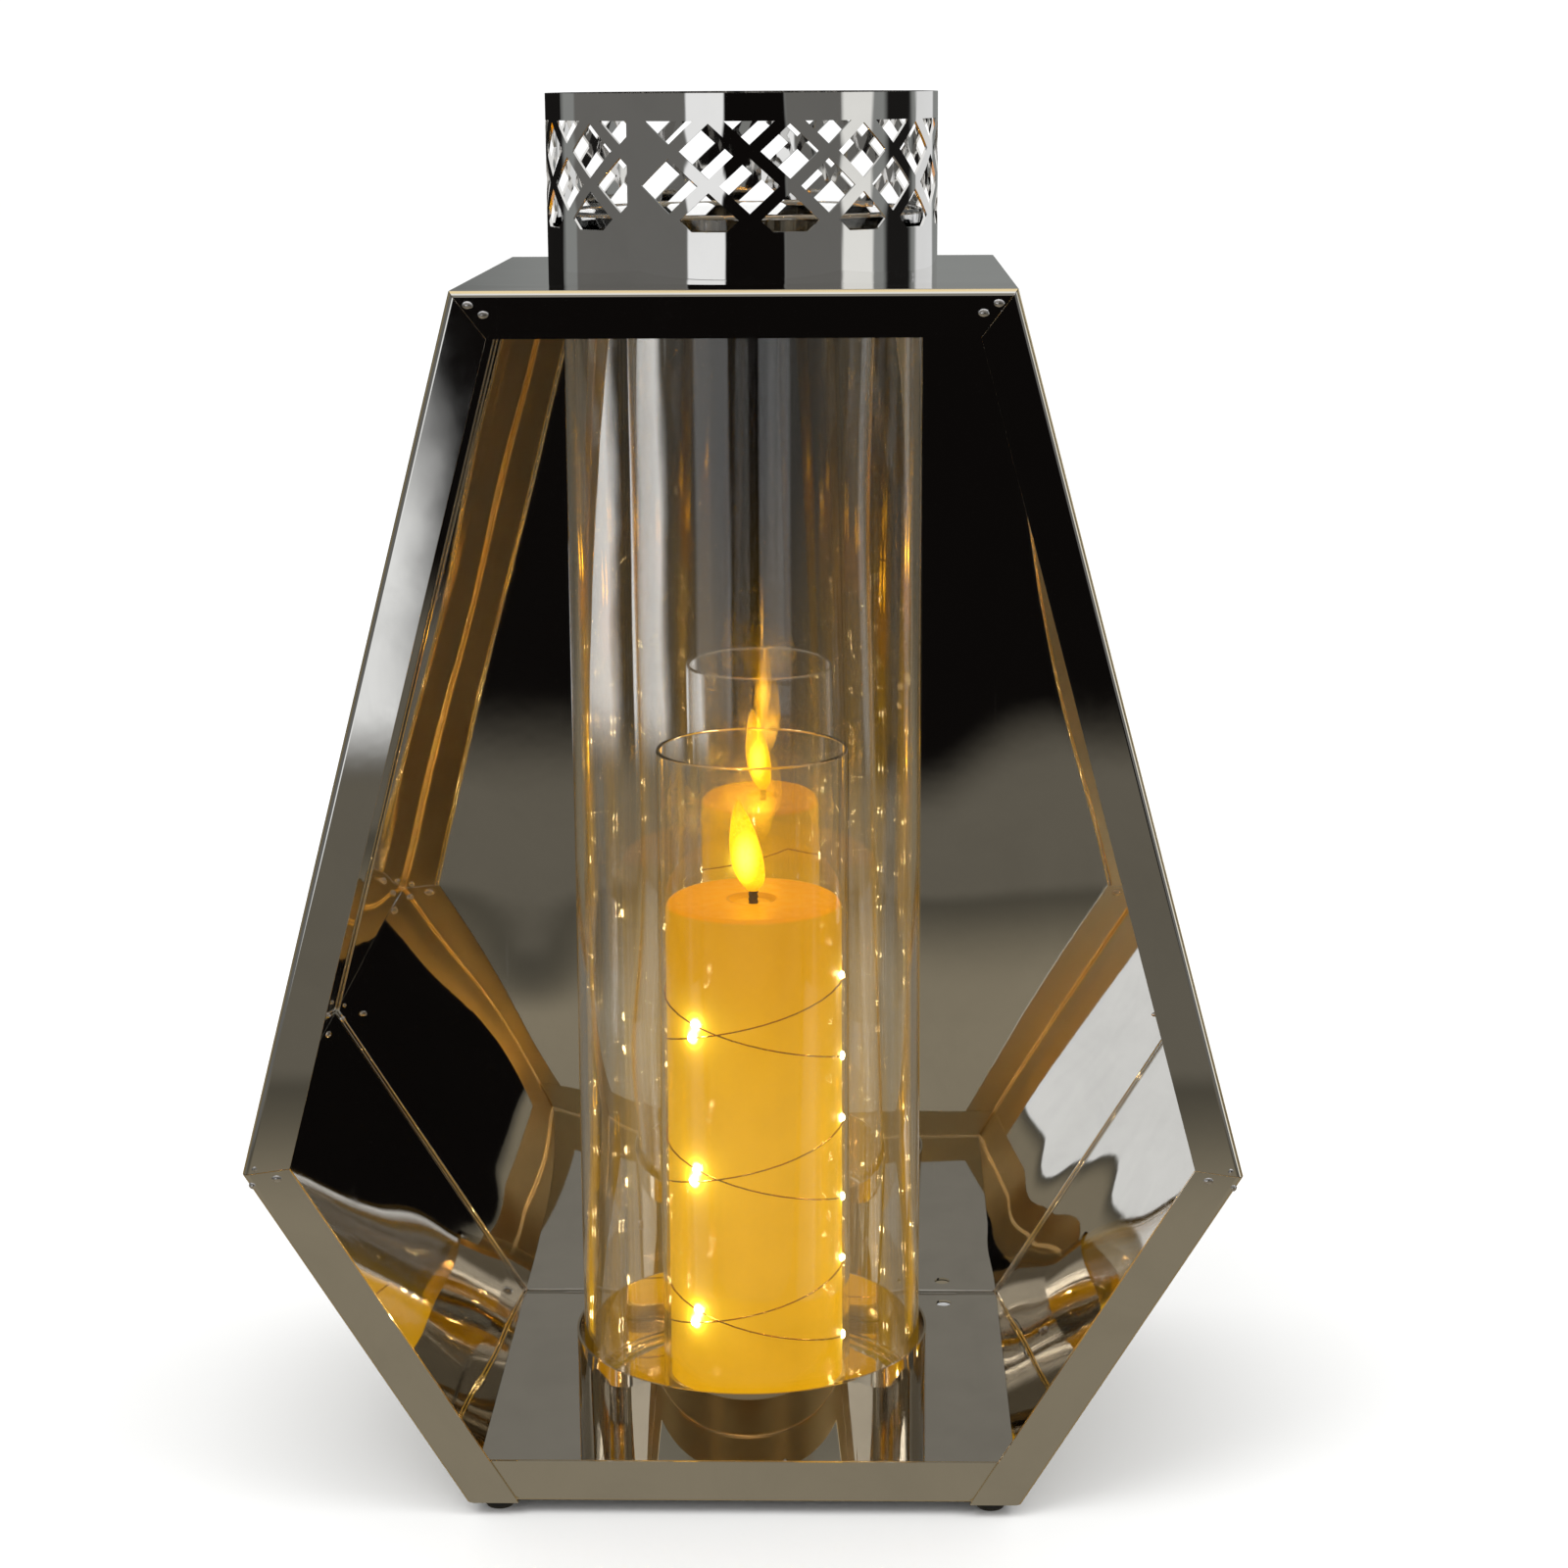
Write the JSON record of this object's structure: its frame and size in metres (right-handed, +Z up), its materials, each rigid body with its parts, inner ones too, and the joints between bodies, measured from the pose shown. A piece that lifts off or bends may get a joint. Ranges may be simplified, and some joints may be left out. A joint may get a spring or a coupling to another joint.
{
  "type": "candle lantern",
  "caption": "Six-sided mirror-steel lantern with an open front, a pierced collar on top, a lift-out glass tube in a ring, and a battery candle wound with a string of tiny lights.",
  "frame": {"origin": "centre of the lantern's outline on the surface it stands on", "axes": "+X to the right seen from the open front, +Y to the closed back, +Z up"},
  "size_m": [0.245, 0.1406, 0.3485],
  "materials": {
    "polished_steel": "mirror-polished sheet steel, slightly wavy",
    "mirror_steel": "mirror-polished sheet steel, slightly wavy",
    "weld_steel": "ground-down spot welds",
    "foot_rubber": "matt black rubber",
    "clear_glass": "clear, fire-polished rims",
    "clear_acrylic": "clear, polished rim",
    "amber_wax": "amber wax skin lit by its lights",
    "wick_black": "dark matt sleeve",
    "flame_plastic": "thin amber shell lit from inside",
    "lamp": "glowing lens",
    "nickel": "nickel-plated wire and sheet",
    "light_wire": "fine enamelled copper wire",
    "light_bead": "clear drop over a glowing lamp",
    "board_green": "solder mask",
    "black_plastic": "fine texture",
    "cell_sleeve": "plain sleeve, no print",
    "ivory_plastic": "moulded"
  },
  "bodies": {
    "lantern": {"base_plate": "polished_steel", "lower_left_panel": "polished_steel", "lower_right_panel": "polished_steel", "upper_left_panel": "polished_steel", "upper_right_panel": "polished_steel", "top_plate": "polished_steel", "back_panel": "mirror_steel", "collar": "polished_steel", "tube_ring": "polished_steel", "weld_beads": "weld_steel", "foot_front_left": "foot_rubber", "foot_front_right": "foot_rubber", "foot_back_left": "foot_rubber", "foot_back_right": "foot_rubber"},
    "glass": {"glass_tube": "clear_glass"},
    "candle": {"candle_cup": "clear_acrylic", "wax_pillar": "amber_wax", "wick": "wick_black", "flame_bulb": "flame_plastic", "flame_led": "lamp", "flame_leads": "nickel", "light_wire": "light_wire", "light_beads": "light_bead", "circuit_board": "board_green", "driver_chip": "black_plastic", "capacitor": "cell_sleeve", "battery_case": "ivory_plastic", "battery_left": "cell_sleeve", "battery_right": "cell_sleeve", "battery_spring": "nickel", "battery_contact": "nickel", "switch_body": "black_plastic"},
    "battery_door": {"battery_door": "ivory_plastic", "door_contact": "nickel"},
    "switch_knob": {"switch_knob": "black_plastic"}
  },
  "joints": [
    {"name": "glass_lift", "type": "slide", "parent": "lantern", "child": "glass", "axis": [0, 0, 1], "range_m": [0, 0.346]},
    {"name": "candle_lift", "type": "slide", "parent": "lantern", "child": "candle", "axis": [0, 0, 1], "range_m": [0, 0.346]},
    {"name": "door_turn", "type": "hinge", "parent": "candle", "child": "battery_door", "pos_m": [0.001, 0.007, 0.0055], "axis": [0, 0, 1], "range_deg": [0, 45]},
    {"name": "switch_slide", "type": "slide", "parent": "candle", "child": "switch_knob", "axis": [1, 0, 0], "range_m": [-0.003, 0]}
  ]
}
